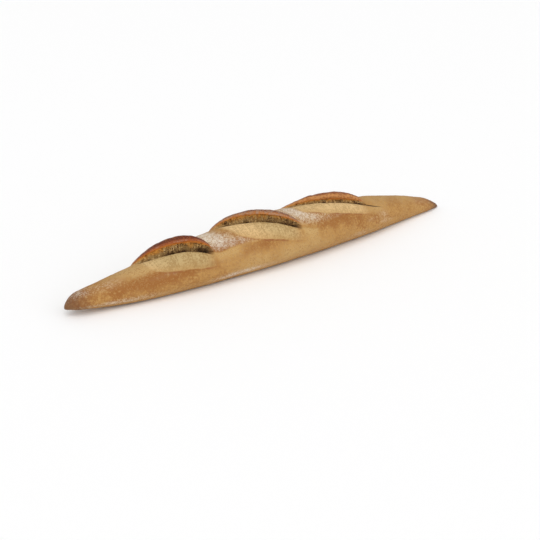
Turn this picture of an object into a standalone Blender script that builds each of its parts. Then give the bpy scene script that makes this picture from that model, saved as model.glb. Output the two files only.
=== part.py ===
"""Country baguette: a spindle-shaped loaf whose three slanting slashes opened into raised ears.

Metres, +Z up. X runs along the loaf from its blunt end to its pointed end, and -Y is the side that
the slashes open towards. The origin is on the ground under the middle of the loaf.
"""

import bpy
import numpy as np

# Driving sizes of the loaf
LENGTH = 0.500
WIDTH = 0.0705
HEIGHT = 0.0495
BOW = 0.0055

# Each end: how the width falls off, the tip's share of it, the round nose's share of half the
# length, how far the underside of the tip stands off the ground and how far the tip hooks forward.
# The middle line of the loaf bows back towards both ends, and lift and hook begin at these shares
BLUNT_END = {"power": 2.05, "tip": 0.20, "nose": 0.062, "lift": 0.0090, "hook": 0.0}
POINTED_END = {"power": 1.88, "tip": 0.180, "nose": 0.11, "lift": 0.0, "hook": 0.0055}
LIFT_FROM = 0.58
HOOK_FROM = 0.70

# Section: share of the height under the widest level, and what the ground flattens off
WIDEST_LEVEL = 0.45
FLATTENED = 0.075

# The three slashes: where each starts and stops along the loaf, the angle from the crown there
# (positive to the back), its ear's height, how far the ear peaks towards the pointed end, the torn
# lip's share of that height, the bloom's width at both ends, and the height of the bloom's bulge
SLASHES = (
    {
        "x": (-0.171, -0.096),
        "angle": (18.0, -46.0),
        "ear": 0.0132,
        "lean": 1.36,
        "lip": 0.76,
        "bloom": (0.0260, 0.0235),
        "rise": 0.0060,
    },
    {
        "x": (-0.072, 0.013),
        "angle": (29.0, -52.0),
        "ear": 0.0110,
        "lean": 1.08,
        "lip": 0.74,
        "bloom": (0.0380, 0.0215),
        "rise": 0.0036,
    },
    {
        "x": (0.019, 0.118),
        "angle": (20.0, -31.0),
        "ear": 0.0100,
        "lean": 1.50,
        "lip": 0.37,
        "bloom": (0.0268, 0.0180),
        "rise": 0.0028,
    },
)
# Rings are turned a little from square, so that they pass between one slash and the next
RING_TURN = 0.006
RING_TURN_ANGLE = -10.0

# Profile across an open slash, front to back. Each row is a line along the loaf: its angle from
# the slash while closed, its place across the open slash (in blooms in front, in metres behind)
# and its height over the skin. In front that is a share of the ridge, of the bloom's bulge and of
# the crevice's depth. Behind it is a share of the torn lip's height and a share of the crust's rise
# from there to the top of the ear, and the last value says how softly the row's height falls off
# towards the slash's ends
RIDGE = 0.0014
CREVICE = 0.0050
FRONT_ROWS = (
    (-34.0, -1.15, 0.0, 0.0, 0.0),
    (-29.0, -1.05, 0.15, 0.0, 0.0),
    (-26.0, -1.0, 1.0, 0.0, 0.0),
    (-23.5, -0.94, 0.15, 0.0, 0.0),
    (-20.0, -0.8, 0.0, 0.45, 0.0),
    (-15.5, -0.56, 0.0, 0.8, 0.0),
    (-11.0, -0.32, 0.0, 1.0, 0.0),
    (-7.0, -0.12, 0.0, 0.9, 0.0),
    (-4.0, -0.02, 0.0, 0.0, -0.25),
)
CREVICE_ROW = (-1.0, 0.0010, -CREVICE)
EAR_ROWS = (
    (2.0, 0.0020, -0.15, 0.0, 0.60),
    (4.5, 0.0034, 0.45, 0.0, 0.60),
    (7.0, 0.0042, 0.88, 0.0, 0.60),
    (9.0, 0.0036, 1.0, 0.0, 0.60),
    (11.5, 0.0034, 1.0, 0.45, 0.60),
    (14.0, 0.0046, 1.0, 0.78, 0.60),
    (18.0, 0.0076, 1.0, 1.0, 0.62),
    (22.0, 0.0108, 1.0, 1.0, 0.68),
    (27.0, 0.0156, 0.86, 0.86, 0.85),
    (33.0, 0.0215, 0.60, 0.60, 1.10),
    (40.0, 0.0280, 0.33, 0.33, 1.40),
    (48.0, 0.0345, 0.12, 0.12, 1.70),
    (57.0, 0.0410, 0.0, 0.0, 1.0),
)
# How softly the crevice, the bloom's edge and its bulge end. The bloom's edge leans towards the
# blunt end and its bulge towards the pointed end
GAP_SOFTNESS = 0.55
SPREAD_SOFTNESS = 0.40
RISE_SOFTNESS = 1.2
SPREAD_LEAN = 0.65
RISE_LEAN = 1.7

# Faceting: lines down each side, and rings out to a tip, through each slash and between slashes.
# Rings crowd towards a tip by this power, and towards both ends of a slash by this much
SIDE_LINES = 8
UNDERSIDE_FROM = 105.0
RINGS_TO_TIP = 14
RINGS_SLASHED = (18, 21, 22)
RINGS_BETWEEN = 13
CROWDED_AT_TIP = 1.8
CROWDED_AT_SLASH = 0.55

# Low swells that keep the loaf from looking turned on a lathe, from this height up
SWELL = 0.0007
SWELL_FROM = 0.006
SWELL_WAVES = ((31.0, 1.0, 0.4), (53.0, 2.0, 2.1), (83.0, 3.0, 4.0), (127.0, 2.0, 5.2))

CRUST_COLOUR = (0.46, 0.25, 0.09, 1.0)
CRUST_ROUGHNESS = 0.6


def clear_scene():
    for obj in list(bpy.data.objects):
        bpy.data.objects.remove(obj, do_unlink=True)


def fullness(share):
    """The loaf's size at a share of half its length (-1 to 1), as a share of its size in the middle."""
    near = np.abs(share)
    size = np.ones_like(share)
    for end, here in ((BLUNT_END, share < 0), (POINTED_END, share >= 0)):
        taper = 1 - (1 - end["tip"]) * near ** end["power"]
        into_nose = np.clip((near - 1 + end["nose"]) / end["nose"], 0, 1)
        size = np.where(here, taper * np.sqrt(1 - into_nose**2), size)
    return size


def section_point(x, angle):
    """Y and Z of the unslashed skin at x, at an angle from the crown that is positive to the back."""
    share = np.clip(x / (LENGTH / 2), -1, 1)
    size = fullness(share)
    half_width = WIDTH / 2 * size
    height = HEIGHT / (1 - FLATTENED) * size
    cosine = np.cos(angle)
    reach = np.where(cosine > 0, 1 - WIDEST_LEVEL, WIDEST_LEVEL)
    lift = np.where(share < 0, BLUNT_END["lift"], POINTED_END["lift"])
    lift = lift * (np.clip(np.abs(share) - LIFT_FROM, 0, 1) / (1 - LIFT_FROM)) ** 2
    ground = FLATTENED * height
    hook = np.where(share < 0, BLUNT_END["hook"], POINTED_END["hook"])
    hook = hook * (np.clip(np.abs(share) - HOOK_FROM, 0, 1) / (1 - HOOK_FROM)) ** 2
    y = half_width * np.sin(angle) + BOW * share**2 - hook
    z = np.maximum(height * (WIDEST_LEVEL + reach * cosine), ground) - ground + lift
    return y, z


def skin_normal(x, angle):
    """Y and Z of the skin's outward direction across the loaf."""
    size = fullness(np.clip(x / (LENGTH / 2), -1, 1))
    across = WIDTH / 2 * size
    reach = np.where(np.cos(angle) > 0, 1 - WIDEST_LEVEL, WIDEST_LEVEL)
    down = reach * HEIGHT / (1 - FLATTENED) * size
    ny = np.sin(angle) * down
    nz = np.cos(angle) * across
    length = np.hypot(ny, nz) + 1e-12
    return ny / length, nz / length


def underside_angles():
    """Angles of the lines under the loaf, which run straight along it. Two follow the flat's edges."""
    edge = np.arccos(FLATTENED / WIDEST_LEVEL - 1)
    down = np.linspace(np.radians(UNDERSIDE_FROM), edge, 4)
    across = np.linspace(edge, 2 * np.pi - edge, 5)
    return np.concatenate([down, across[1:-1], 2 * np.pi - down[::-1]])


def slash_spans():
    """Each slash's first and last ring, as a distance along the loaf."""
    turn = np.radians(RING_TURN_ANGLE)
    spans = []
    for slash in SLASHES:
        ends = [x + RING_TURN * np.sin(np.radians(a) - turn) for x, a in zip(slash["x"], slash["angle"])]
        spans.append(ends)
    return spans


def slash_angle(ring):
    """The angle of the crevice line from the crown. Between slashes it swings back to the next one."""
    places = [-LENGTH / 2, *np.ravel(slash_spans()), LENGTH / 2]
    angles = [0.0, *np.ravel([slash["angle"] for slash in SLASHES]), 0.0]
    return np.radians(np.interp(ring, places, angles))


def opening(ring):
    """For each ring, how far the crevice and the bloom are open, the arches over them, and the sizes there."""
    gap, spread, ridge, rise, arch, ear, lip = (np.zeros_like(ring) for _ in range(7))
    bloom = np.full_like(ring, SLASHES[0]["bloom"][0])
    for slash, (first, last) in zip(SLASHES, slash_spans()):
        part = np.clip((ring - first) / (last - first), 0, 1)
        inside = (ring > first) & (ring < last)
        widest, narrowest = slash["bloom"]
        gap = np.where(inside, np.sin(np.pi * part) ** GAP_SOFTNESS, gap)
        spread = np.where(inside, np.sin(np.pi * part**SPREAD_LEAN) ** SPREAD_SOFTNESS, spread)
        ridge = np.where(inside, RIDGE * np.sin(np.pi * part), ridge)
        bulge = slash["rise"] * np.sin(np.pi * part**RISE_LEAN) ** RISE_SOFTNESS
        rise = np.where(inside, bulge, rise)
        arch = np.where(inside, np.sin(np.pi * part ** slash["lean"]), arch)
        ear = np.where(inside, slash["ear"], ear)
        lip = np.where(inside, slash["lip"], lip)
        bloom = np.where(inside, widest + part * (narrowest - widest), bloom)
    return {
        "gap": gap,
        "spread": spread,
        "ridge": ridge,
        "rise": rise,
        "arch": arch,
        "ear": ear,
        "lip": lip,
        "bloom": bloom,
    }


def ring_places():
    """Where the rings lie along the loaf."""
    spans = slash_spans()
    out = np.linspace(0, 1, RINGS_TO_TIP + 1)[1:-1] ** CROWDED_AT_TIP
    to_blunt, to_pointed = spans[0][0] + LENGTH / 2, LENGTH / 2 - spans[-1][1]
    places = [out * to_blunt - LENGTH / 2, LENGTH / 2 - out * to_pointed]
    for (first, last), count in zip(spans, RINGS_SLASHED):
        share = np.linspace(0, 1, count + 1)
        share = share - CROWDED_AT_SLASH * np.sin(2 * np.pi * share) / (2 * np.pi)
        places.append(first + share * (last - first))
    for before, after in zip(spans, spans[1:]):
        places.append(np.linspace(before[1], after[0], RINGS_BETWEEN + 1)[1:-1])
    return np.sort(np.concatenate(places))


def swell(x, angle):
    """Gentle unevenness of the skin, fading out at the tips."""
    total = np.zeros_like(x)
    for waves, turns, start in SWELL_WAVES:
        total += np.sin(waves * x + start) * np.cos(turns * angle + 1.7 * start)
    return SWELL / 2 * total * np.clip(fullness(x / (LENGTH / 2)) - 0.2, 0, 1)


def loaf_points():
    """Points of the crust as rings by lines, each an X, Y, Z."""
    ring = ring_places()
    slash = opening(ring)
    gap, spread, lip = slash["gap"], slash["spread"], slash["lip"]
    radius = WIDTH / 2 * fullness(ring / (LENGTH / 2))
    crevice_angle = slash_angle(ring)
    angles, heights = [], []
    for closed, place, ridge, rise, depth in FRONT_ROWS:
        opened = place * slash["bloom"] / radius
        angles.append(crevice_angle + (1 - spread) * np.radians(closed) + spread * opened)
        heights.append(ridge * slash["ridge"] + rise * slash["rise"] + depth * gap * CREVICE)
    closed, place, height = CREVICE_ROW
    angles.append(crevice_angle + (1 - gap) * np.radians(closed) + gap * place / radius)
    heights.append(gap * height)
    for closed, place, torn, crust, softness in EAR_ROWS:
        angles.append(crevice_angle + (1 - gap) * np.radians(closed) + gap * place / radius)
        heights.append(slash["ear"] * slash["arch"] ** softness * (lip * torn + (1 - lip) * crust))
    under = underside_angles()
    front, back = angles[0] + 2 * np.pi, angles[-1]
    share = np.arange(1, SIDE_LINES + 1) / (SIDE_LINES + 1)
    angles += [back + s * (under[0] - back) for s in share]
    angles += [np.full_like(ring, a) for a in under]
    angles += [under[-1] + s * (front - under[-1]) for s in share]
    heights += [np.zeros_like(ring)] * (len(angles) - len(heights))
    angle = np.stack(angles, 1)
    height = np.stack(heights, 1)
    turn = RING_TURN * np.clip(2.2 * (1 - np.abs(ring) / (LENGTH / 2)), 0, 1)
    x = ring[:, None] - turn[:, None] * np.sin(angle - np.radians(RING_TURN_ANGLE))
    y, z = section_point(x, angle)
    ny, nz = skin_normal(x, angle)
    lift = height + swell(x, angle) * np.clip(z / SWELL_FROM, 0, 1)
    return np.stack([x, y + lift * ny, np.maximum(z + lift * nz, 0)], -1)


def tip_point(side):
    """The very end of the loaf, at side -1 or 1."""
    y, _ = section_point(np.array([side * LENGTH / 2]), np.zeros(1))
    lift = BLUNT_END["lift"] if side < 0 else POINTED_END["lift"]
    return (side * LENGTH / 2, float(y[0]), lift)


def make_loaf(material):
    points = loaf_points()
    rings, lines = points.shape[:2]
    vertices = [tuple(p) for p in points.reshape(-1, 3)]
    blunt_tip, pointed_tip = len(vertices), len(vertices) + 1
    vertices += [tip_point(-1), tip_point(1)]
    faces = []
    last_ring = (rings - 1) * lines
    for j in range(lines):
        k = (j + 1) % lines
        faces.append((blunt_tip, j, k))
        faces.append((pointed_tip, last_ring + k, last_ring + j))
        for i in range(rings - 1):
            a, b = i * lines + j, i * lines + k
            faces.append((a, a + lines, b + lines, b))
    mesh = bpy.data.meshes.new("loaf")
    mesh.from_pydata(vertices, [], faces)
    mesh.validate()
    mesh.materials.append(material)
    loaf = bpy.data.objects.new("loaf", mesh)
    bpy.context.scene.collection.objects.link(loaf)
    mesh.shade_smooth()
    return loaf


def crust_material():
    material = bpy.data.materials.new("crust")
    material.use_nodes = True
    shader = material.node_tree.nodes["Principled BSDF"]
    shader.inputs["Base Color"].default_value = CRUST_COLOUR
    shader.inputs["Roughness"].default_value = CRUST_ROUGHNESS
    shader.inputs["Metallic"].default_value = 0.0
    return material


def main():
    clear_scene()
    make_loaf(crust_material())


main()
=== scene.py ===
"""Country baguette, dressed: a fine crust with torn ears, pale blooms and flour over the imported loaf.

Metres, +Z up. X runs along the loaf from its blunt end to its pointed end, and -Y is the side that
the slashes open towards.
"""

import bpy
import numpy as np
from mathutils import Matrix, Vector, noise


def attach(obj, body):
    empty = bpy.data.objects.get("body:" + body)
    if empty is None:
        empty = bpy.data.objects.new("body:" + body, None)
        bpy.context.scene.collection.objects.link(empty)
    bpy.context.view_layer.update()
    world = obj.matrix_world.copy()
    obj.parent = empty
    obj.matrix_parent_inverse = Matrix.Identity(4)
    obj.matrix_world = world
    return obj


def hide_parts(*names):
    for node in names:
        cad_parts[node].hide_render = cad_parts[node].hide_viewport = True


# Driving sizes of the loaf, as in its solid but with both ends a millimetre or two fuller
LENGTH = 0.500
WIDTH = 0.0705
HEIGHT = 0.0495
BOW = 0.0055
BLUNT_END = {"power": 2.05, "tip": 0.235, "nose": 0.066, "lift": 0.0082, "hook": 0.0}
POINTED_END = {"power": 1.98, "tip": 0.180, "nose": 0.11, "lift": 0.0, "hook": 0.0055}
LIFT_FROM = 0.58
HOOK_FROM = 0.70
WIDEST_LEVEL = 0.45
FLATTENED = 0.075

# The three slashes: where each starts and stops along the loaf, the angle from the crown there
# (positive to the back), its ear's height, how far the ear peaks towards the pointed end, the torn
# lip's share of that height, the width of its bloom at both ends and how far that bulges. Kinks are
# places along the ear, as shares of the slash, where it stands higher or lower than a smooth arch.
# Light is how pale the ear's outside is. Paled says how pale the bloom is along the slash, and
# the next table how many rows the crevice's painted shade climbs up the torn side
SLASHES = (
    {
        "x": (-0.171, -0.096),
        "angle": (18.0, -46.0),
        "ear": 0.0132,
        "lean": 1.36,
        "lip": 0.76,
        "bloom": (0.0260, 0.0235),
        "rise": 0.0060,
        "light": 0.0,
        "paled": ((0.0, 0.85), (0.20, 0.25), (0.45, -0.1), (0.85, -0.1), (1.0, 0.3)),
        "crevice_shade": (
            (0.0, 0.2),
            (0.34, 0.1),
            (0.42, 1.3),
            (0.60, 1.6),
            (0.67, 1.1),
            (0.71, 0.2),
            (0.79, 1.4),
            (1.0, 2.2),
        ),
        "kinks": (
            (0.0, 0.0),
            (0.05, 0.08),
            (0.12, 0.03),
            (0.25, -0.06),
            (0.38, -0.02),
            (0.48, 0.0),
            (0.58, 0.04),
            (0.68, 0.12),
            (0.80, 0.22),
            (0.90, 0.25),
            (1.0, 0.15),
        ),
    },
    {
        "x": (-0.072, 0.013),
        "angle": (29.0, -52.0),
        "ear": 0.0110,
        "lean": 1.08,
        "lip": 0.74,
        "bloom": (0.0380, 0.0215),
        "rise": 0.0036,
        "light": 0.5,
        "paled": ((0.0, 1.1), (0.30, 0.9), (0.55, 0.1), (0.80, 0.2), (1.0, 0.7)),
        "crevice_shade": (
            (0.0, 0.5),
            (0.11, 0.4),
            (0.16, 1.8),
            (0.21, 0.4),
            (0.42, 1.0),
            (0.52, 0.4),
            (0.58, 0.5),
            (0.63, 2.0),
            (0.68, 0.6),
            (0.82, 1.3),
            (1.0, 2.1),
        ),
        "kinks": (
            (0.0, 0.0),
            (0.22, -0.02),
            (0.40, -0.05),
            (0.46, 0.0),
            (0.64, 0.0),
            (0.76, 0.09),
            (0.88, 0.12),
            (1.0, 0.06),
        ),
    },
    {
        "x": (0.019, 0.118),
        "angle": (20.0, -31.0),
        "ear": 0.0100,
        "lean": 1.50,
        "lip": 0.37,
        "bloom": (0.0268, 0.0180),
        "rise": 0.0028,
        "light": 1.0,
        "paled": ((0.0, 0.7), (0.30, 0.8), (1.0, 0.9)),
        "crevice_shade": (
            (0.0, -0.2),
            (0.22, 0.6),
            (0.30, 0.4),
            (0.40, 1.0),
            (0.43, 0.8),
            (0.47, 3.2),
            (0.51, 0.7),
            (0.62, 1.1),
            (0.80, 1.0),
            (0.88, 1.8),
            (1.0, 2.4),
        ),
        "kinks": (
            (0.0, 0.0),
            (0.25, -0.03),
            (0.36, 0.03),
            (0.42, -0.06),
            (0.50, 0.01),
            (0.80, 0.06),
            (1.0, 0.04),
        ),
    },
)
# How far the rings lean along the loaf, the angle about which they lean, and how steeply that
# fades towards the tips
RING_TURN = 0.006
RING_TURN_ANGLE = -10.0
RING_TURN_FADE = 2.2

# Profile across an open slash, front to back. Each row is a line along the loaf: its angle from
# the slash while closed, its place across the open slash (in blooms in front, in metres behind)
# and its height over the skin. In front that is a share of the ridge, of the bloom's bulge and of
# the crevice's depth. Behind it is a share of the torn lip's height and a share of the crust's rise
# from there to the top of the ear, and then how softly the row's height falls off towards the
# slash's ends. The last value is the steps to the next row in the fine mesh
RIDGE = 0.0014
CREVICE = 0.0050
FRONT_ROWS = (
    (-34.0, -1.15, 0.0, 0.0, 0.0, 3),
    (-29.0, -1.05, 0.15, 0.0, 0.0, 3),
    (-26.0, -1.0, 1.0, 0.0, 0.0, 3),
    (-23.5, -0.94, 0.15, 0.0, 0.0, 3),
    (-20.0, -0.8, 0.0, 0.45, 0.0, 4),
    (-15.5, -0.56, 0.0, 0.8, 0.0, 4),
    (-11.0, -0.32, 0.0, 1.0, 0.0, 3),
    (-7.0, -0.12, 0.0, 0.9, 0.0, 3),
    (-4.0, -0.02, 0.0, 0.0, -0.25, 4),
)
CREVICE_ROW = (-1.0, 0.0010, -CREVICE, 4)
EAR_ROWS = (
    (2.0, 0.0020, -0.15, 0.0, 0.60, 6),
    (4.5, 0.0034, 0.45, 0.0, 0.60, 5),
    (7.0, 0.0042, 0.88, 0.0, 0.60, 2),
    (9.0, 0.0036, 1.0, 0.0, 0.60, 3),
    (11.5, 0.0034, 1.0, 0.45, 0.60, 3),
    (14.0, 0.0046, 1.0, 0.78, 0.60, 3),
    (18.0, 0.0076, 1.0, 1.0, 0.62, 3),
    (22.0, 0.0108, 1.0, 1.0, 0.68, 4),
    (27.0, 0.0156, 0.86, 0.86, 0.85, 4),
    (33.0, 0.0215, 0.60, 0.60, 1.10, 4),
    (40.0, 0.0280, 0.33, 0.33, 1.40, 4),
    (48.0, 0.0345, 0.12, 0.12, 1.70, 4),
    (57.0, 0.0410, 0.0, 0.0, 1.0, 0),
)
ROUNDING_PASSES = 2
# How softly the crevice, the bloom's edge and its bulge end. The bloom's edge leans towards the
# blunt end and its bulge towards the pointed end
GAP_SOFTNESS = 0.55
SPREAD_SOFTNESS = 0.40
RISE_SOFTNESS = 1.2
SPREAD_LEAN = 0.65
RISE_LEAN = 1.7
# Over how many rings the crevice and the bloom's edge ease open, and how far past a slash its
# bloom's paleness still counts
GAP_EASE = 2
SPREAD_EASE = 10
NEAR_SLASH = 0.0065

# Rows of that profile where the torn side's bumps begin and end, where the rim's are strongest and
# where those of the ear's outside end, and the rows that the skin behind and ahead of it counts as
TORN_ROWS = (8.7, 12.6)
RIM_ROW = 13.4
EAR_END_ROW = 21.5
BEHIND_ROW = 30.0
AHEAD_ROW = -8.0

# How softly an ear's height falls off for its masks, and the heights in metres at which it counts
# as tall and as fully standing
EAR_SOFTNESS = 0.6
TALL_EAR = 0.0014
STANDING_EAR = 0.0110
# How soon the masks of the crevice, the bloom and its ridge are full
OPEN_GAIN = 1.8
RIDGED_GAIN = 1.5
SPREAD_FROM = 0.25
SPREAD_SPAN = 0.6

# Fineness of the crust's mesh: the steps between its rings, how fast they grow away from the tips,
# how far past the slashes they stay fine, and the most degrees that its lines swing from ring to
# ring
RING_STEP_SLASHED = 0.00070
RING_STEP_PLAIN = 0.00130
RING_STEP_NOSE = 0.00030
RING_STEP_GROWTH = 0.22
FINE_PAST_SLASHES = 0.006
MOST_SWING = 2.0
# Its lines behind and ahead of the profile, and those under the loaf from that angle down
BACK_LINES = 12
FRONT_LINES = 24
UNDERSIDE_FROM = 105.0
UNDERSIDE_DOWN = 8
UNDERSIDE_ACROSS = 10

# Swells of the crust: their size, the height over the floor from where they are full, the fullness
# of the loaf at which they vanish, each wave's frequency along and around and its start, and how
# far that start also turns it around the loaf
SWELL = 0.0007
SWELL_FROM = 0.006
SWELL_VANISHES = 0.2
SWELL_WAVES = ((31.0, 1.0, 0.4), (53.0, 2.0, 2.1), (83.0, 3.0, 4.0), (127.0, 2.0, 5.2))
SWELL_TWIST = 1.7
# How far the smooth crust lies under the solid's skin, to leave room for its bumps
INSET = 0.00028

# Noise along a slash: its gain to about -1 to 1, how far apart its rows lie, and its level
LINE_GAIN = 1.4
LINE_APART = 7.3
LINE_LEVEL = 0.5
# How ragged an ear's top and how wavy a bloom's edge is, as shares, and the size of that in metres
RAGGED_EAR = 0.012
RAGGED_SIZE = 0.0045
WAVY_BLOOM = 0.03
WAVY_SIZE = 0.014
WAVY_ROW = 10

# Bumps of the skin, the torn side, the rim and the ear's outside: height and size in metres, the
# rows that they span where they follow the profile, where they start in the noise, and the level
# over which only their peaks count
SKIN_BUMPS = (
    {"height": 0.00026, "size": 0.012},
    {"height": 0.00013, "size": 0.0040},
    {"height": 0.00045, "size": 0.0026, "start": 40.0, "over": 0.34},
)
TORN_BUMPS = (
    {"height": 0.00050, "size": 0.0017, "rows": 4.0, "start": 3.0},
    {"height": 0.00030, "size": 0.0010, "rows": 3.0, "start": 13.0},
    {"height": 0.00075, "size": 0.0042, "rows": 1.4, "start": 8.0},
    {"height": -0.0055, "size": 0.0040, "rows": 1.3, "start": 21.0, "over": 0.22},
)
RIM_BUMPS = (
    {"height": 0.00055, "size": 0.0060, "rows": 3.0, "start": 33.0},
    {"height": -0.0018, "size": 0.0030, "rows": 2.0, "start": 41.0, "over": 0.15},
)
EAR_BANDS = {"height": 0.00030, "size": 0.012, "rows": 0.8, "start": 55.0}
EAR_BLISTERS = {"height": 0.00016, "size": 0.0028}
# The share of a mask from where its bumps are made
BUMPS_FROM = 0.02

# How far one row counts along the streaks of a torn side, in metres
ROW_STRETCH = 0.0005

# Patches of the skin: place along the loaf, angle from the crown, reach along and around, strength
FLOUR_PATCHES = (
    (-0.093, 10.0, 0.010, 26.0, 1.25),
    (-0.078, -27.0, 0.014, 15.0, 0.56),
    (-0.054, -41.0, 0.018, 7.0, 0.42),
    (0.014, 8.0, 0.011, 26.0, 0.90),
    (0.029, -27.0, 0.012, 15.0, 0.70),
    (0.056, -40.0, 0.016, 8.0, 0.40),
    (-0.208, -22.0, 0.016, 22.0, 0.42),
    (-0.236, 0.0, 0.009, 30.0, 0.50),
    (0.136, -66.0, 0.008, 12.0, 0.42),
    (0.112, -73.0, 0.007, 6.0, 0.34),
    (0.142, -90.0, 0.012, 8.0, 0.34),
    (0.095, -104.0, 0.014, 8.0, 0.32),
    (0.214, -40.0, 0.020, 30.0, 0.30),
    (-0.150, -57.0, 0.020, 8.0, 0.25),
    (-0.060, 80.0, 0.120, 24.0, 0.30),
    (0.110, 50.0, 0.060, 30.0, 0.26),
    (-0.200, -106.0, 0.030, 11.0, 0.55),
    (-0.068, -114.0, 0.022, 9.0, 0.62),
    (0.000, -116.0, 0.180, 7.0, 0.25),
    (0.000, 112.0, 0.160, 14.0, 0.48),
)
BROWNED_PATCHES = (
    (-0.152, -58.0, 0.026, 12.0, 1.90),
    (-0.190, -34.0, 0.030, 34.0, 0.72),
    (-0.150, -85.0, 0.045, 20.0, 0.40),
    (-0.238, -20.0, 0.012, 90.0, 0.50),
    (-0.052, -60.0, 0.026, 10.0, 0.90),
    (-0.086, -66.0, 0.018, 9.0, 0.60),
    (-0.078, -40.0, 0.020, 9.0, 1.10),
    (0.052, -50.0, 0.018, 12.0, 0.85),
    (0.080, -56.0, 0.030, 14.0, 0.42),
    (0.110, -70.0, 0.030, 14.0, 0.45),
    (0.172, -26.0, 0.036, 20.0, 0.50),
    (0.225, -20.0, 0.016, 60.0, 0.75),
    (-0.020, 60.0, 0.200, 50.0, 0.35),
)
PALE_PATCHES = (
    (-0.010, -96.0, 0.050, 20.0, 0.85),
    (-0.178, 12.0, 0.018, 28.0, 1.10),
    (-0.172, -22.0, 0.008, 12.0, 0.90),
    (0.126, -50.0, 0.010, 10.0, 0.70),
    (0.165, -8.0, 0.040, 24.0, 0.75),
)

# Lines where the skin stands a little over a slash's trailing edge, as places along the loaf and
# angles. Then how wide and high the step is, how far the pale crust under it reaches and how pale
# it is, and from where to where along the line, as shares of it, the step rises and falls off
TAILS = (
    ((-0.0985, -42.5), (-0.0946, -46.0), (-0.0897, -49.5), (-0.0767, -47.5), (-0.0500, -45.5)),
    ((0.0120, -49.5), (0.0190, -54.8), (0.0246, -58.5), (0.0380, -60.5)),
)
TAIL_WIDTH = 0.0020
TAIL_HEIGHT = 0.0007
TAIL_REACH = 0.011
TAIL_PALENESS = 0.85
TAIL_RISE = (-0.25, 0.15)
TAIL_FALL = (1.1, 0.4)

# A crack that trails off past the end of the last slash, as places along the loaf and angles, its
# sizes, and the share of its length over which it begins
CRACKS = (
    ((0.1140, -27.0), (0.1191, -33.5), (0.1284, -39.7), (0.1403, -45.0)),
)
CRACK_WIDTH = 0.0010
CRACK_DEPTH = 0.0014
CRACK_BEGINS = 0.10

# Camera, as the photograph was taken
CAMERA_ELEVATION = 25.0
CAMERA_YAW = 36.8
CAMERA_DISTANCE = 0.9937
CAMERA_LENS = 60.0
SENSOR = 36.0
FRAME_PIXELS = 540
FOCAL_PIXELS = CAMERA_LENS / SENSOR * FRAME_PIXELS
LOAF_OFF_CENTRE = (4.7, -16.6)

# Soft studio light
WORLD_LIGHT = 0.60
SUN_ANGLE = 60.0
KEY_FROM = (-0.5, -0.5, 1.0)
KEY_LIGHT = 1.4
FILL_FROM = (0.3, -1.0, 0.5)
FILL_LIGHT = 0.6

# Base colours, red, green and blue out of 255
SKIN = (180, 136, 76)
SKIN_BROWN = (147, 92, 39)
SKIN_PALE = (192, 157, 102)
TIP = (104, 68, 48)
BLOOM = (187, 161, 112)
BLOOM_LIGHT = (222, 187, 134)
BLOOM_DEEP = (158, 126, 77)
RIDGE_LINE = (146, 88, 48)
EAR_BACK = (160, 108, 58)
EAR_EDGE = (98, 42, 20)
# The next two colours are painted highlights: a pale sheen along each ear's outside, and a greyer sheen
# on the middle ear
EAR_PAINTED_SHEEN = (176, 134, 104)
EAR_GREY_SHEEN = (166, 140, 118)
EAR_BROWN = (139, 71, 34)
EAR_LIGHT = (190, 132, 74)
EAR_LIGHT_EDGE = (138, 80, 42)
RIM = (174, 100, 34)
TORN_GOLD = (184, 124, 50)
TORN_CRUMB = (190, 157, 106)
TORN_OLIVE = (138, 107, 62)
# The next two colours are painted shade: the dark low on the torn side and in its pits, and the black
# down in the crevice and the crack
TORN_SHADE = (84, 57, 31)
SHADE_BLACK = (52, 37, 20)
FLOUR = (222, 211, 194)
FLOOR = (250, 250, 250)

# Places along the loaf between which its ends turn to the dark of the tips
BLUNT_TIP = (-0.220, -0.249)
POINTED_TIP = (0.222, 0.249)

# Rows of the profile between which each part of the crust's look comes in or goes out. Where the
# later row stands first, its share falls from 1 to 0
RIDGE_BEGINS = (0.9, 1.8)
RIDGE_ENDS = (2.9, 2.2)
BLOOM_BEGINS = (1.5, 2.6)
BLOOM_FROM_SKIN = (5.6, 2.4)
BLOOM_ENDS = (13.0, 12.0)
FLOUR_ENDS = (2.2, 3.6)
FLOUR_RESUMES = (20.0, 16.0)
TORN_BEGINS = (8.35, 8.75)
TORN_ENDS = (15.0, 14.0)
ROUGH_BEGINS = (8.4, 9.0)
ROUGH_ENDS = (13.2, 12.6)
# Rows where the crevice's painted shade turns from black to dark
BLACK_ENDS = (8.6, 9.3)
OLIVE_BEGINS = (9.0, 9.9)
CRUMB_BEGINS = (9.4, 10.2)
GOLD_BEGINS = (10.2, 11.8)
RIM_BEGINS = (12.2, 12.9)
RIM_ENDS = (13.6, 14.5)
OUTSIDE_BEGINS = (13.0, 13.5)
OUTSIDE_ENDS = (19.8, 14.4)
GLOSS_BEGINS = (13.2, 14.2)
PAINTED_SHEEN_BEGINS = (14.1, 14.5)
PAINTED_SHEEN_ENDS = (15.3, 14.9)
EDGE_BEGINS = (14.9, 15.7)
EDGE_ENDS = (17.0, 19.0)
LIGHT_EDGE_BEGINS = (15.0, 15.9)
BACK_BEGINS = (14.6, 16.8)

# Noises of the crust's look: size in metres, how many finer layers they have and how strong
# those are
BLOTCH = (0.020, 3.0, 0.55)
MOTTLE = (0.0048, 5.0, 0.62)
FLECK = (0.0026, 3.0, 0.5)
GRAIN = (0.0013, 2.0, 0.5)
STREAK = (0.0018, 4.0, 0.62)
RIDGE_GAPS = (0.012, 2.0, 0.5)
FINE_BUMPS = (0.00060, 3.0, 0.6)

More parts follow.
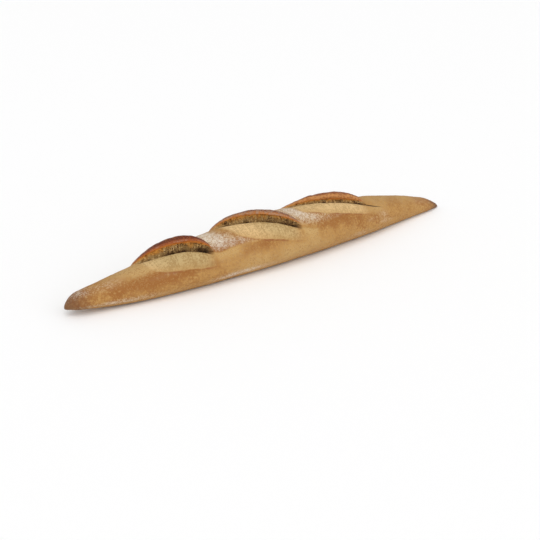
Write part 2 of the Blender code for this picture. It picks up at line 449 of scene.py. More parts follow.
# Finish of the crust and the floor: roughness of their parts, the crust's shine, and the depth of
# its coarse and fine bumps
SKIN_ROUGHNESS = 0.62
EAR_ROUGHNESS = 0.45
TORN_ROUGHNESS = 0.85
FLOUR_ROUGHNESS = 0.92
SPECULAR = 0.22
COARSE_BUMP = 0.0010
FINE_BUMP = 0.00022
FLOOR_ROUGHNESS = 0.9

# The floor's half width, and how far it lies under the loaf
FLOOR_HALF = 4.0
FLOOR_DROP = 0.0003


def linear(colour):
    """A colour out of 255 as the linear red, green, blue and alpha that Blender's sockets take."""
    share = np.array(colour) / 255
    value = np.where(share <= 0.04045, share / 12.92, ((share + 0.055) / 1.055) ** 2.4)
    return (*[float(v) for v in value], 1.0)


def smooth_step(value):
    value = np.clip(value, 0, 1)
    return value * value * (3 - 2 * value)


def smooth_between(value, start, end):
    """A smooth rise from 0 at start to 1 at end, which may be the smaller."""
    return smooth_step((value - start) / (end - start))


def fullness(share):
    """The loaf's size at a share of half its length (-1 to 1), as a share of its size in the middle."""
    near = np.abs(share)
    size = np.ones_like(share)
    for end, here in ((BLUNT_END, share < 0), (POINTED_END, share >= 0)):
        taper = 1 - (1 - end["tip"]) * near ** end["power"]
        into_nose = np.clip((near - 1 + end["nose"]) / end["nose"], 0, 1)
        size = np.where(here, taper * np.sqrt(1 - into_nose**2), size)
    return size


def half_width(x):
    """Half the loaf's width at x."""
    return WIDTH / 2 * fullness(np.clip(x / (LENGTH / 2), -1, 1))


def from_crown(angle):
    """Angles in degrees from the crown, from -180 to 180."""
    return (np.degrees(angle) + 180) % 360 - 180


def end_bend(share, name, start):
    """How far an end is lifted, or hooked to the front, growing from that share of half the length."""
    most = np.where(share < 0, BLUNT_END[name], POINTED_END[name])
    return most * (np.clip(np.abs(share) - start, 0, 1) / (1 - start)) ** 2


def section_point(x, angle):
    """Y and Z of the unslashed skin at x, at an angle from the crown that is positive to the back."""
    share = np.clip(x / (LENGTH / 2), -1, 1)
    size = fullness(share)
    height = HEIGHT / (1 - FLATTENED) * size
    cosine = np.cos(angle)
    reach = np.where(cosine > 0, 1 - WIDEST_LEVEL, WIDEST_LEVEL)
    lift = end_bend(share, "lift", LIFT_FROM)
    hook = end_bend(share, "hook", HOOK_FROM)
    ground = FLATTENED * height
    y = WIDTH / 2 * size * np.sin(angle) + BOW * share**2 - hook
    z = np.maximum(height * (WIDEST_LEVEL + reach * cosine), ground) - ground + lift
    return y, z


def skin_normal(x, angle):
    """Y and Z of the skin's outward direction across the loaf."""
    size = fullness(np.clip(x / (LENGTH / 2), -1, 1))
    reach = np.where(np.cos(angle) > 0, 1 - WIDEST_LEVEL, WIDEST_LEVEL)
    ny = np.sin(angle) * reach * HEIGHT / (1 - FLATTENED) * size
    nz = np.cos(angle) * WIDTH / 2 * size
    length = np.hypot(ny, nz) + 1e-12
    return ny / length, nz / length


def underside_angles():
    """Angles of the lines under the loaf, which run straight along it. Two follow the flat's edges."""
    edge = np.arccos(FLATTENED / WIDEST_LEVEL - 1)
    down = np.linspace(np.radians(UNDERSIDE_FROM), edge, UNDERSIDE_DOWN)
    across = np.linspace(edge, 2 * np.pi - edge, UNDERSIDE_ACROSS)
    return np.concatenate([down, across[1:-1], 2 * np.pi - down[::-1]])


def slash_spans():
    """Each slash's first and last ring, as a distance along the loaf."""
    turn = np.radians(RING_TURN_ANGLE)
    spans = []
    for slash in SLASHES:
        ends = [x + RING_TURN * np.sin(np.radians(a) - turn) for x, a in zip(slash["x"], slash["angle"])]
        spans.append(ends)
    return spans


def slash_angle(ring):
    """The angle of the crevice line from the crown. Between slashes it swings back to the next one."""
    places = [-LENGTH / 2, *np.ravel(slash_spans()), LENGTH / 2]
    angles = [0.0, *np.ravel([slash["angle"] for slash in SLASHES]), 0.0]
    return np.radians(np.interp(ring, places, angles))


def line_noise(place, size, row):
    """Smooth noise from about -1 to 1 along the loaf, with bumps of that size in metres."""
    found = [noise.noise(Vector((p / size, LINE_APART * row, LINE_LEVEL))) for p in place]
    return np.array(found) * LINE_GAIN


def eased(values, reach):
    """Values along the rings, averaged softly over that many rings to each side."""
    weight = np.hanning(2 * reach + 3)
    return np.convolve(values, weight / weight.sum(), mode="same")


def opening(ring):
    """How far crevice and bloom are open at each ring, the arches over them, and the sizes there."""
    found = {}
    for number, (slash, (first, last)) in enumerate(zip(SLASHES, slash_spans())):
        part = np.clip((ring - first) / (last - first), 0, 1)
        inside = (ring > first) & (ring < last)
        kinked = np.interp(part, *np.array(slash["kinks"]).T)
        ragged = RAGGED_EAR * line_noise(ring, RAGGED_SIZE, number)
        here = {
            "gap": np.sin(np.pi * part) ** GAP_SOFTNESS,
            "spread": np.sin(np.pi * part**SPREAD_LEAN) ** SPREAD_SOFTNESS,
            "ridge": RIDGE * np.sin(np.pi * part),
            "rise": slash["rise"] * np.sin(np.pi * part**RISE_LEAN) ** RISE_SOFTNESS,
            "arch": np.sin(np.pi * part ** slash["lean"]),
            "ear": slash["ear"] * (1 + kinked + ragged),
            "lip": slash["lip"],
            "light": slash["light"],
            "crevice_shade": np.interp(part, *np.array(slash["crevice_shade"]).T),
        }
        for name, values in here.items():
            found[name] = np.where(inside, values, found.get(name, 0.0))
        near = np.abs(ring - (first + last) / 2) < (last - first) / 2 + NEAR_SLASH
        paled = np.interp(part, *np.array(slash["paled"]).T)
        found["paled"] = np.where(near, paled, found.get("paled", 0.0))
    found["gap"] = eased(found["gap"], GAP_EASE)
    found["spread"] = eased(found["spread"], SPREAD_EASE)
    bloom = np.interp(ring, np.ravel(slash_spans()), np.ravel([slash["bloom"] for slash in SLASHES]))
    found["bloom"] = bloom * (1 + WAVY_BLOOM * line_noise(ring, WAVY_SIZE, WAVY_ROW))
    return found


def ring_places():
    """Where the rings lie along the loaf, closer together over the slashes and at the noses."""
    spans = slash_spans()
    slashed = (spans[0][0] - FINE_PAST_SLASHES, spans[-1][1] + FINE_PAST_SLASHES)
    place = -LENGTH / 2
    places = []
    while place < LENGTH / 2 - RING_STEP_NOSE:
        from_tip = LENGTH / 2 - abs(place)
        if slashed[0] < place < slashed[1]:
            swing = np.ptp(slash_angle(np.array([place, place + RING_STEP_SLASHED])))
            step = RING_STEP_SLASHED * min(1.0, np.radians(MOST_SWING) / (swing + 1e-6))
        else:
            step = min(RING_STEP_PLAIN, RING_STEP_NOSE + RING_STEP_GROWTH * from_tip)
        place += step
        places.append(place)
    return np.array(places[:-1])


def swell(x, angle):
    """Gentle unevenness of the skin, fading out at the tips."""
    total = np.zeros_like(x)
    for waves, turns, start in SWELL_WAVES:
        total += np.sin(waves * x + start) * np.cos(turns * angle + SWELL_TWIST * start)
    return SWELL / 2 * total * np.clip(fullness(x / (LENGTH / 2)) - SWELL_VANISHES, 0, 1)


def profile(ring, slash):
    """Angle and height of each row of the profile at each ring."""
    gap, spread, lip = slash["gap"], slash["spread"], slash["lip"]
    radius = half_width(ring)
    crevice_angle = slash_angle(ring)
    angles, heights = [], []
    for closed, place, ridge, rise, depth, _ in FRONT_ROWS:
        opened = place * slash["bloom"] / radius
        angles.append(crevice_angle + (1 - spread) * np.radians(closed) + spread * opened)
        heights.append(ridge * slash["ridge"] + rise * slash["rise"] + depth * gap * CREVICE)
    closed, place, height, _ = CREVICE_ROW
    angles.append(crevice_angle + (1 - gap) * np.radians(closed) + gap * place / radius)
    heights.append(gap * height)
    for closed, place, torn, crust, softness, _ in EAR_ROWS:
        angles.append(crevice_angle + (1 - gap) * np.radians(closed) + gap * place / radius)
        heights.append(slash["ear"] * slash["arch"] ** softness * (lip * torn + (1 - lip) * crust))
    return np.stack(angles, 1), np.stack(heights, 1)


def fine_lines():
    """Each fine line's place in rows, and its share of each row of the profile, with corners rounded."""
    steps = [row[-1] for row in (*FRONT_ROWS, CREVICE_ROW, *EAR_ROWS)]
    place = [0.0]
    for i, count in enumerate(steps[:-1]):
        place += [i + (k + 1) / count for k in range(count)]
    whole = np.arange(len(steps))
    shares = np.stack([np.interp(place, whole, only) for only in np.eye(len(steps))], 1)
    for _ in range(ROUNDING_PASSES):
        shares[1:-1] = (shares[:-2] + 2 * shares[1:-1] + shares[2:]) / 4
    return np.array(place), shares


def crust_grid():
    """The crust as rings by lines: its points, and the masks that tell its parts apart."""
    ring = ring_places()
    slash = opening(ring)
    row, shares = fine_lines()
    angle, height = (coarse @ shares.T for coarse in profile(ring, slash))

    under = underside_angles()
    front, back = angle[:, :1] + 2 * np.pi, angle[:, -1:]
    behind = back + np.linspace(0, 1, BACK_LINES + 2)[None, 1:-1] * (under[0] - back)
    ahead = under[-1] + np.linspace(0, 1, FRONT_LINES + 2)[None, 1:-1] * (front - under[-1])
    angle = np.concatenate([angle, behind, np.tile(under, (len(ring), 1)), ahead], 1)
    plain = angle.shape[1] - height.shape[1]
    height = np.pad(height, ((0, 0), (0, plain)))
    slashed = (np.arange(angle.shape[1]) < len(row)).astype(float)[None]
    plain_rows = [np.full(BACK_LINES, BEHIND_ROW), np.full(plain - BACK_LINES, AHEAD_ROW)]
    row = np.concatenate([row, *plain_rows])

    turn = RING_TURN * np.clip(RING_TURN_FADE * (1 - np.abs(ring) / (LENGTH / 2)), 0, 1)
    x = ring[:, None] - turn[:, None] * np.sin(angle - np.radians(RING_TURN_ANGLE))
    y, z = section_point(x, angle)
    ny, nz = skin_normal(x, angle)
    crack = crack_mask(x, angle)
    step, under_step = tail_masks(x, angle)
    lift = height - CRACK_DEPTH * crack + TAIL_HEIGHT * step
    lift += (swell(x, angle) - INSET) * np.clip(z / SWELL_FROM, 0, 1)
    points = np.stack([x, y + lift * ny, np.maximum(z + lift * nz, 0)], -1)

    ear_height = slash["arch"] ** EAR_SOFTNESS * slash["ear"]
    along_slash = {
        "open": smooth_step(slash["gap"] * OPEN_GAIN),
        "spread": smooth_step((slash["spread"] - SPREAD_FROM) / SPREAD_SPAN),
        "ridged": smooth_step(slash["ridge"] / RIDGE * RIDGED_GAIN),
        "tall": smooth_step(ear_height / TALL_EAR),
        "stand": smooth_step(ear_height / STANDING_EAR),
        "light": slash["light"],
        "paled": slash["paled"],
        "crevice_shade": slash["crevice_shade"],
    }
    masks = {
        "row": np.tile(row, (len(ring), 1)),
        **{name: values[:, None] * slashed for name, values in along_slash.items()},
        "crack": crack,
        "flour": patch_mask(x, angle, FLOUR_PATCHES) * (1 - under_step),
        "browned": patch_mask(x, angle, BROWNED_PATCHES) * (1 - under_step),
        "pale": patch_mask(x, angle, PALE_PATCHES) + TAIL_PALENESS * under_step,
    }
    return points, masks


def patch_mask(x, angle, patches):
    """The patches' summed strength at each point of the skin."""
    turned = from_crown(angle)
    total = np.zeros_like(x)
    for at, around, reach, span, strength in patches:
        distance = ((x - at) / reach) ** 2 + ((turned - around) / span) ** 2
        total += strength * np.exp(-0.5 * distance)
    return total


def crack_mask(x, angle):
    """1 along the middle of the cracks, falling to 0 at their sides and towards their far ends."""
    turned = from_crown(angle)
    radius = half_width(x)
    total = np.zeros_like(x)
    for crack in CRACKS:
        start, end = crack[0][0], crack[-1][0]
        centre = np.interp(x, *np.array(crack).T)
        apart = np.radians(turned - centre) * radius
        along = (x - start) / (end - start)
        ends = smooth_step(along / CRACK_BEGINS) * np.sqrt(np.clip(1 - along, 0, 1))
        total += np.exp(-((apart / CRACK_WIDTH) ** 2)) * ends
    return total


def tail_masks(x, angle):
    """How far the skin steps up over each trailing edge, and where the pale crust lies under it."""
    turned = from_crown(angle)
    radius = half_width(x)
    step, under_step = np.zeros_like(x), np.zeros_like(x)
    for tail in TAILS:
        start, end = tail[0][0], tail[-1][0]
        above = np.radians(turned - np.interp(x, *np.array(tail).T)) * radius
        along = (x - start) / (end - start)
        near = smooth_between(along, *TAIL_RISE) * smooth_between(along, *TAIL_FALL)
        fading = np.exp(-((above / TAIL_REACH) ** 2))
        below = smooth_step(0.5 - above / TAIL_WIDTH)
        step += near * (1 - below) * fading
        under_step += near * below * fading
    return step, under_step


def grid_normals(points):
    """Outward direction at each point of the rings-by-lines grid."""
    along = np.gradient(points, axis=0)
    around = np.roll(points, -1, 1) - np.roll(points, 1, 1)
    normal = np.cross(along, around)
    return normal / (np.linalg.norm(normal, axis=-1, keepdims=True) + 1e-12)


def bump_height(bump, place):
    """How high one kind of bump is at a place in the noise."""
    level = noise.noise(Vector(place))
    if "over" in bump:
        level = max(0.0, level - bump["over"])
    return bump["height"] * level


def skin_bump(bump, point):
    """The height of a bump that is as long as it is wide."""
    x, y, z = point / bump["size"]
    return bump_height(bump, (x, y, z + bump.get("start", 0.0)))


def row_bump(bump, x, row):
    """The height of a bump that follows the rows of the profile."""
    return bump_height(bump, (x / bump["size"], row / bump["rows"], bump["start"]))


def relief(points, masks):
    """How far each point stands off the smooth crust: blisters, streaks, and each ear's torn side."""
    flat = points.reshape(-1, 3)
    rows = masks["row"].ravel()
    opened = masks["open"].ravel()
    tall = masks["tall"].ravel()
    height = np.zeros(len(flat))
    for i, point in enumerate(flat):
        x = point[0]
        row = rows[i]
        height[i] = sum(skin_bump(bump, point) for bump in SKIN_BUMPS)
        if opened[i] > BUMPS_FROM and TORN_ROWS[0] < row < TORN_ROWS[1]:
            inside = opened[i] * min(1.0, row - TORN_ROWS[0], 2 * (TORN_ROWS[1] - row))
            height[i] += inside * sum(row_bump(bump, x, row) for bump in TORN_BUMPS)
        elif tall[i] > BUMPS_FROM and TORN_ROWS[1] <= row < EAR_END_ROW:
            rim = max(0.0, 1 - abs(row - RIM_ROW)) * sum(row_bump(bump, x, row) for bump in RIM_BUMPS)
            height[i] += tall[i] * (rim + row_bump(EAR_BANDS, x, row) + skin_bump(EAR_BLISTERS, point))
    return height.reshape(points.shape[:2])


def tip_point(side):
    """The very end of the loaf, at side -1 or 1."""
    y, _ = section_point(np.array([side * LENGTH / 2]), np.zeros(1))
    lift = BLUNT_END["lift"] if side < 0 else POINTED_END["lift"]
    return (side * LENGTH / 2, float(y[0]), lift)


def grid_faces(rings, lines):
    """Quads between the rings, and a fan to each tip, whose points follow those of the grid."""
    faces = []
    blunt_tip = rings * lines
    last = (rings - 1) * lines
    for j in range(lines):
        k = (j + 1) % lines
        faces.append((blunt_tip, j, k))
        faces.append((blunt_tip + 1, last + k, last + j))
        faces += [(i + j, i + lines + j, i + lines + k, i + k) for i in range(0, last, lines)]
    return faces


def make_crust(material):
    points, masks = crust_grid()
    normal = grid_normals(points)
    soft = np.clip(points[..., 2] / SWELL_FROM, 0, 1)
    points = points + normal * (relief(points, masks) * soft)[..., None]
    points[..., 2] = np.maximum(points[..., 2], 0)
    rings, lines = points.shape[:2]
    vertices = [tuple(p) for p in points.reshape(-1, 3)]
    vertices += [tip_point(-1), tip_point(1)]
    mesh = bpy.data.meshes.new("loaf_crust")
    mesh.from_pydata(vertices, [], grid_faces(rings, lines))
    mesh.shade_smooth()
    for name, mask in masks.items():
        layer = mesh.attributes.new(name, "FLOAT", "POINT")
        layer.data.foreach_set("value", np.append(mask.ravel(), (0.0, 0.0)).astype(np.float32))
    mesh.materials.append(material)
    crust = bpy.data.objects.new("loaf_crust", mesh)
    bpy.context.scene.collection.objects.link(crust)
    return crust


class Nodes:
    """Short ways to add the nodes of one material and link them."""

    def __init__(self, material):
        material.use_nodes = True
        self.tree = material.node_tree
        self.shader = self.tree.nodes["Principled BSDF"]

    def add(self, kind, **settings):
        node = self.tree.nodes.new(kind)
        for name, value in settings.items():
            setattr(node, name, value)
        return node

    def link(self, value, socket):
        if isinstance(value, bpy.types.NodeSocket):
            self.tree.links.new(value, socket)
        else:
            socket.default_value = value

    def mask(self, name):
        return self.add("ShaderNodeAttribute", attribute_name=name).outputs["Fac"]

    def place(self):
        return self.add("ShaderNodeTexCoord").outputs["Object"]

    def noise(self, vector, size, detail, roughness):
        """Noise from 0 to 1 with bumps of that size in metres."""
        node = self.add("ShaderNodeTexNoise")
        self.link(vector, node.inputs["Vector"])
        node.inputs["Scale"].default_value = 1 / size
        node.inputs["Detail"].default_value = detail
        node.inputs["Roughness"].default_value = roughness
        return node.outputs["Fac"]

    def along(self):
        """The place along the loaf."""
        node = self.add("ShaderNodeSeparateXYZ")
        self.link(self.place(), node.inputs[0])
        return node.outputs["X"]

    def along_rows(self):
        """A place whose second value follows the rows of the profile, for streaks that run across it."""
        node = self.add("ShaderNodeCombineXYZ")
        self.link(self.along(), node.inputs["X"])
        self.link(self.math("MULTIPLY", self.mask("row"), ROW_STRETCH), node.inputs["Y"])
        return node.outputs["Vector"]

    def spread(self, noise_value, span):
        """Noise moved to lie around 0, from -span/2 to span/2."""
        return self.math("MULTIPLY", self.math("SUBTRACT", noise_value, 0.5), span)

    def share(self, value, other):
        """Two shares multiplied and kept from 0 to 1."""
        node = self.add("ShaderNodeMath", operation="MULTIPLY", use_clamp=True)
        self.link(value, node.inputs[0])
        self.link(other, node.inputs[1])
        return node.outputs[0]

    def sum(self, first, *others):
        for other in others:
            first = self.math("ADD", first, other)
        return first

    def math(self, operation, a, b):
        node = self.add("ShaderNodeMath", operation=operation)
        self.link(a, node.inputs[0])
        self.link(b, node.inputs[1])
        return node.outputs[0]

    def between(self, value, low, high):
        """0 below low, 1 above high and a smooth rise between them."""
        node = self.add("ShaderNodeMapRange", interpolation_type="SMOOTHSTEP")
        self.link(value, node.inputs["Value"])
        node.inputs["From Min"].default_value = low
        node.inputs["From Max"].default_value = high
        return node.outputs["Result"]

    def mix(self, share, a, b):
        node = self.add("ShaderNodeMix", data_type="RGBA")
        self.link(share, node.inputs["Factor"])
        self.link(linear(a) if isinstance(a, tuple) else a, node.inputs["A"])
        self.link(linear(b) if isinstance(b, tuple) else b, node.inputs["B"])
        return node.outputs["Result"]

    def number_mix(self, share, a, b):
        node = self.add("ShaderNodeMix", data_type="FLOAT")
        self.link(share, node.inputs["Factor"])
        self.link(a, node.inputs["A"])
        self.link(b, node.inputs["B"])
        return node.outputs["Result"]

    def bump(self, height, distance, normal=None):
        node = self.add("ShaderNodeBump")
        node.inputs["Distance"].default_value = distance
        self.link(height, node.inputs["Height"])
        if normal is not None:
            self.link(normal, node.inputs["Normal"])
        return node.outputs["Normal"]


def skin_colour(n, blotch, mottle, fleck, grain):
    """The baked skin: golden, browner and paler in places, and dark at both tips."""
    uneven = n.sum(n.spread(mottle, 1.0), n.spread(fleck, 2.0), n.spread(grain, 1.8))
    browned = n.sum(n.mask("browned"), n.spread(blotch, 1.6), uneven)
    skin = n.mix(n.share(n.between(browned, -0.10, 1.15), 0.92), SKIN, SKIN_BROWN)
    pale = n.sum(n.mask("pale"), n.spread(blotch, -1.0), uneven)
    skin = n.mix(n.share(n.between(pale, 0.05, 1.10), 0.95), skin, SKIN_PALE)
    skin = n.mix(n.share(n.between(fleck, 0.54, 0.66), 0.35), skin, SKIN_BROWN)
    skin = n.mix(n.share(n.between(grain, 0.52, 0.64), 0.35), skin, SKIN_BROWN)
    light_flecks = n.between(n.sum(fleck, n.spread(grain, -0.8)), 0.46, 0.28)
    skin = n.mix(n.share(light_flecks, 0.40), skin, SKIN_PALE)
    along = n.sum(n.along(), n.spread(mottle, 0.020))
    blunt = n.share(n.between(along, *BLUNT_TIP), 0.76)
    pointed = n.share(n.between(along, *POINTED_TIP), 0.90)
    return n.mix(n.math("MAXIMUM", blunt, pointed), skin, TIP)


def bloom_colour(n, colour, blotch, mottle, fleck, grain, streak):
    """The pale bloom in front of each slash, with its ridge line."""
    row = n.sum(n.mask("row"), n.spread(mottle, 1.6))
    deep = n.sum(n.spread(blotch, 1.6), n.spread(mottle, 2.0), n.spread(fleck, 2.2))
    deep = n.sum(deep, n.spread(grain, 2.8), n.spread(streak, 3.4))
    bloom = n.mix(n.mask("paled"), BLOOM, BLOOM_LIGHT)
    plainness = n.number_mix(n.share(n.mask("paled"), 1.0), 0.80, 0.50)
    bloom = n.mix(n.share(n.between(deep, -0.45, 0.55), plainness), bloom, BLOOM_DEEP)
    bloom = n.mix(n.share(n.between(row, *BLOOM_FROM_SKIN), 0.55), bloom, SKIN)
    in_front = n.math("MULTIPLY", n.between(row, *BLOOM_BEGINS), n.between(n.mask("row"), *BLOOM_ENDS))
    colour = n.mix(n.share(in_front, n.mask("spread")), colour, bloom)
    line = n.math("MULTIPLY", n.between(row, *RIDGE_BEGINS), n.between(row, *RIDGE_ENDS))
    gaps = n.between(n.noise(n.place(), *RIDGE_GAPS), 0.36, 0.60)
    line = n.math("MULTIPLY", line, gaps)
    return n.mix(n.share(line, n.share(n.mask("ridged"), 0.85)), colour, RIDGE_LINE)


def torn_colour(n, mottle, fleck, grain, streak):
    """The torn side of an ear: painted shade, black in the crevice and dark in its pits, then olive
    crumb, golden under the rim.
    """
    row = n.mask("row")
    ragged = n.sum(n.spread(streak, 2.4), n.spread(mottle, 2.4), n.spread(fleck, 2.6))
    # Painted shade: the torn side turns dark and then black towards the crevice, climbing higher where
    # the crevice's shade table says
    depth = n.sum(row, ragged, n.math("MULTIPLY", n.mask("crevice_shade"), -0.62), n.share(n.mask("light"), 0.3))
    torn = n.mix(n.between(depth, *BLACK_ENDS), SHADE_BLACK, TORN_SHADE)
    torn = n.mix(n.between(depth, *OLIVE_BEGINS), torn, TORN_OLIVE)
    crumb = n.sum(fleck, n.spread(mottle, 1.4), n.spread(grain, 1.4), n.spread(streak, -0.9))
    crumb = n.between(crumb, 0.50, 0.68)
    torn = n.mix(n.share(crumb, n.between(depth, *CRUMB_BEGINS)), torn, TORN_CRUMB)
    torn = n.mix(n.between(n.sum(depth, n.spread(streak, 1.6)), *GOLD_BEGINS), torn, TORN_GOLD)
    # Dark pores, painted shade in the torn side's pits, stronger where the crevice is shaded
    shaded_pores = n.between(n.sum(fleck, n.spread(streak, 1.0), n.spread(grain, 0.9)), 0.50, 0.62)
    shaded_pores = n.share(shaded_pores, n.sum(n.math("MULTIPLY", n.mask("crevice_shade"), 0.35), 0.50))
    torn = n.mix(shaded_pores, torn, TORN_SHADE)
    rim = n.sum(row, n.spread(streak, 1.2), n.spread(mottle, 1.0))
    return n.mix(n.between(rim, *RIM_BEGINS), torn, RIM)


def ear_colour(n, colour, blotch, mottle, fleck, grain, streak):
    """The torn side of each ear, and the baked outside over its orange rim, with a painted sheen
    streaked along it.
    """
    crevice = n.math("MULTIPLY", n.between(n.mask("row"), *TORN_BEGINS), n.mask("open"))
    crevice = n.math("MULTIPLY", crevice, n.between(n.mask("row"), *TORN_ENDS))
    colour = n.mix(crevice, colour, torn_colour(n, mottle, fleck, grain, streak))

    wavy = n.sum(n.mask("row"), n.spread(mottle, 1.2), n.spread(fleck, 0.8))
    outside = n.mix(n.between(wavy, *RIM_ENDS), RIM, EAR_BROWN)
    # A broken streak of painted sheen along the ear's outside, stronger on paler ears
    painted_sheen = n.math("MULTIPLY", n.between(wavy, *PAINTED_SHEEN_BEGINS), n.between(wavy, *PAINTED_SHEEN_ENDS))
    painted_sheen = n.math("MULTIPLY", painted_sheen, n.between(n.sum(fleck, n.spread(mottle, 1.2)), 0.46, 0.62))
    painted_sheen = n.math("MULTIPLY", painted_sheen, n.sum(n.share(n.mask("light"), 0.8), 0.50))
    outside = n.mix(painted_sheen, outside, EAR_PAINTED_SHEEN)
    outside = n.mix(n.between(wavy, *EDGE_BEGINS), outside, EAR_EDGE)
    outside = n.mix(n.between(wavy, *EDGE_ENDS), outside, EAR_BROWN)
    outside = n.mix(n.share(n.between(fleck, 0.54, 0.66), 0.40), outside, EAR_EDGE)
    outside = n.mix(n.share(n.between(grain, 0.52, 0.66), 0.45), outside, RIM)
    light = n.mix(n.between(wavy, *LIGHT_EDGE_BEGINS), EAR_LIGHT, EAR_LIGHT_EDGE)
    light = n.mix(n.share(n.between(fleck, 0.46, 0.64), 0.65), light, EAR_LIGHT_EDGE)
    outside = n.mix(n.share(n.mask("light"), 0.92), outside, light)
    # Painted greyish sheen over the outside, strongest on the ear that is half pale
    halfway = n.math("MULTIPLY", n.mask("light"), n.math("SUBTRACT", 1.0, n.mask("light")))
    grey_sheen = n.between(n.sum(mottle, n.spread(fleck, 0.8), n.spread(grain, 0.8)), 0.36, 0.64)
    outside = n.mix(n.share(n.math("MULTIPLY", halfway, 2.2), grey_sheen), outside, EAR_GREY_SHEEN)
    back = n.sum(wavy, n.spread(blotch, 4.0), n.spread(mottle, 3.6), n.spread(fleck, 2.2))
    back = n.sum(back, n.math("MULTIPLY", n.mask("stand"), -2.6))
    outside = n.mix(n.between(back, *BACK_BEGINS), outside, EAR_BACK)
    share = n.math("MULTIPLY", n.between(wavy, *OUTSIDE_BEGINS), n.between(back, *OUTSIDE_ENDS))
    return n.mix(n.share(share, n.mask("tall")), colour, outside)


def flour_share(n, blotch, mottle, fleck, grain):
    """How much flour lies on the skin: a soft powder, with the brown crust showing through in dots."""
    flour = n.sum(n.mask("flour"), n.share(n.mask("flour"), n.spread(blotch, 1.6)))
    uneven = n.sum(n.spread(mottle, 0.8), n.spread(fleck, 0.8), n.spread(grain, 0.6))
    powder = n.between(n.sum(flour, n.share(flour, uneven), n.spread(fleck, 0.3)), 0.08, 1.20)
    dots = n.between(n.sum(fleck, n.spread(mottle, 0.7), n.spread(grain, 1.1)), 0.41, 0.62)
    dots = n.share(dots, n.math("SUBTRACT", 1.20, n.math("MULTIPLY", flour, 0.55)))
    powder = n.math("MULTIPLY", powder, n.math("SUBTRACT", 1.0, dots))
    specks = n.between(n.sum(fleck, n.spread(grain, 0.9)), 0.46, 0.34)
    specks = n.math("MULTIPLY", specks, n.share(n.between(flour, 0.10, 0.90), 0.75))
    powder = n.math("MAXIMUM", powder, specks)
    slashed = n.math("MULTIPLY", n.between(n.mask("row"), *FLOUR_ENDS), n.mask("spread"))
    slashed = n.math("MULTIPLY", slashed, n.between(n.mask("row"), *FLOUR_RESUMES))
    return n.math("MULTIPLY", n.share(powder, 0.88), n.math("SUBTRACT", 1.0, slashed))


def crust_material():
    material = bpy.data.materials.new("crust")
    n = Nodes(material)
    place = n.place()
    blotch = n.noise(place, *BLOTCH)
    mottle = n.noise(place, *MOTTLE)
    fleck = n.noise(place, *FLECK)
    grain = n.noise(place, *GRAIN)
    streak = n.noise(n.along_rows(), *STREAK)

    colour = skin_colour(n, blotch, mottle, fleck, grain)
    flour = flour_share(n, blotch, mottle, fleck, grain)
    colour = n.mix(flour, colour, FLOUR)
    colour = bloom_colour(n, colour, blotch, mottle, fleck, grain, streak)
    # Painted shade down in the crack, near black
    colour = n.mix(n.share(n.between(n.mask("crack"), 0.15, 0.65), 0.95), colour, SHADE_BLACK)
    colour = ear_colour(n, colour, blotch, mottle, fleck, grain, streak)
    n.link(colour, n.shader.inputs["Base Color"])

    torn = n.math("MULTIPLY", n.between(n.mask("row"), *ROUGH_BEGINS), n.mask("open"))
    torn = n.math("MULTIPLY", torn, n.between(n.mask("row"), *ROUGH_ENDS))
    ear = n.math("MULTIPLY", n.between(n.mask("row"), *GLOSS_BEGINS), n.mask("tall"))
    finish = n.number_mix(torn, n.number_mix(ear, SKIN_ROUGHNESS, EAR_ROUGHNESS), TORN_ROUGHNESS)
    n.link(n.number_mix(flour, finish, FLOUR_ROUGHNESS), n.shader.inputs["Roughness"])
    n.shader.inputs["Specular IOR Level"].default_value = SPECULAR
    skin_bumps = n.sum(n.share(grain, 0.5), n.share(fleck, 0.7))
    torn_bumps = n.sum(streak, n.share(fleck, 0.8))
    normal = n.bump(n.number_mix(torn, skin_bumps, torn_bumps), COARSE_BUMP)
    normal = n.bump(n.noise(place, *FINE_BUMPS), FINE_BUMP, normal)
    n.link(normal, n.shader.inputs["Normal"])
    return material


def floor_material():
    material = bpy.data.materials.new("floor")
    n = Nodes(material)
    n.link(linear(FLOOR), n.shader.inputs["Base Color"])
    n.shader.inputs["Roughness"].default_value = FLOOR_ROUGHNESS
    return material


def make_floor():
    mesh = bpy.data.meshes.new("floor")
    around = ((-1, -1), (1, -1), (1, 1), (-1, 1))
    corners = [(FLOOR_HALF * x, FLOOR_HALF * y, -FLOOR_DROP) for x, y in around]
    mesh.from_pydata(corners, [], [(0, 1, 2, 3)])
    mesh.materials.append(floor_material())
    floor = bpy.data.objects.new("floor", mesh)
    bpy.context.scene.collection.objects.link(floor)
    return floor


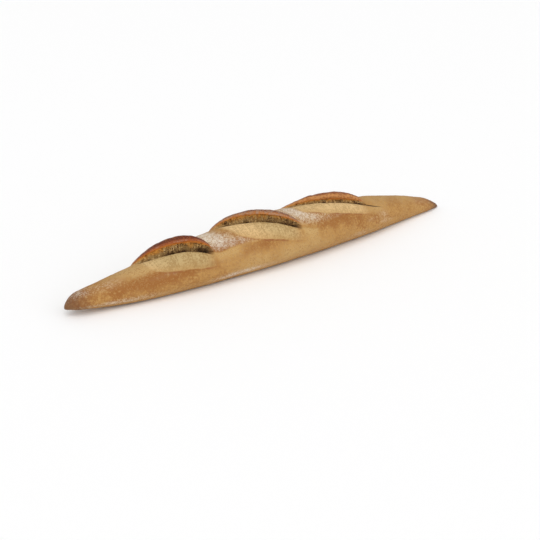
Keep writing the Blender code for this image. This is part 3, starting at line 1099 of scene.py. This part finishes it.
def make_camera():
    """The camera looks down the loaf from its blunt end's front, where the photograph was taken."""
    elevation, yaw = np.radians(CAMERA_ELEVATION), np.radians(CAMERA_YAW)
    level = np.cos(elevation)
    back = Vector((-np.sin(yaw) * level, -np.cos(yaw) * level, np.sin(elevation)))
    right = Vector((np.cos(yaw), -np.sin(yaw), 0.0))
    up = back.cross(right)
    across, down = [offset / FOCAL_PIXELS * CAMERA_DISTANCE for offset in LOAF_OFF_CENTRE]
    eye = back * CAMERA_DISTANCE - right * across + up * down + Vector((0, BOW, 0))
    data = bpy.data.cameras.new("camera")
    data.sensor_width = SENSOR
    data.lens = CAMERA_LENS
    camera = bpy.data.objects.new("camera", data)
    turned = Matrix((right, up, back)).transposed().to_4x4()
    camera.matrix_world = Matrix.Translation(eye) @ turned
    bpy.context.scene.collection.objects.link(camera)
    bpy.context.scene.camera = camera


def make_sun(name, place, strength):
    """A wide soft light from the direction of that place."""
    data = bpy.data.lights.new(name, "SUN")
    data.angle = np.radians(SUN_ANGLE)
    data.energy = strength
    light = bpy.data.objects.new(name, data)
    light.rotation_euler = Vector(place).to_track_quat("Z", "Y").to_euler()
    bpy.context.scene.collection.objects.link(light)


def make_studio():
    scene = bpy.context.scene
    scene.view_settings.view_transform = "Standard"
    world = bpy.data.worlds.new("studio")
    world.use_nodes = True
    background = world.node_tree.nodes["Background"]
    background.inputs["Color"].default_value = (1.0, 1.0, 1.0, 1.0)
    background.inputs["Strength"].default_value = WORLD_LIGHT
    scene.world = world
    make_sun("key", KEY_FROM, KEY_LIGHT)
    make_sun("fill", FILL_FROM, FILL_LIGHT)


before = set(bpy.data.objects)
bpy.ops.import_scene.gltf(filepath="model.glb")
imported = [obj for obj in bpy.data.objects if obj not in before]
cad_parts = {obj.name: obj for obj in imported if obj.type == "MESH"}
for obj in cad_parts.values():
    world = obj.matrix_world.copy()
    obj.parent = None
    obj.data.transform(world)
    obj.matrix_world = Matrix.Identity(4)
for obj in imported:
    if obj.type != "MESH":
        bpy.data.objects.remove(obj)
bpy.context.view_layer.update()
crust = make_crust(crust_material())
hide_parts("loaf")
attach(crust, "root")
make_floor()
make_camera()
make_studio()
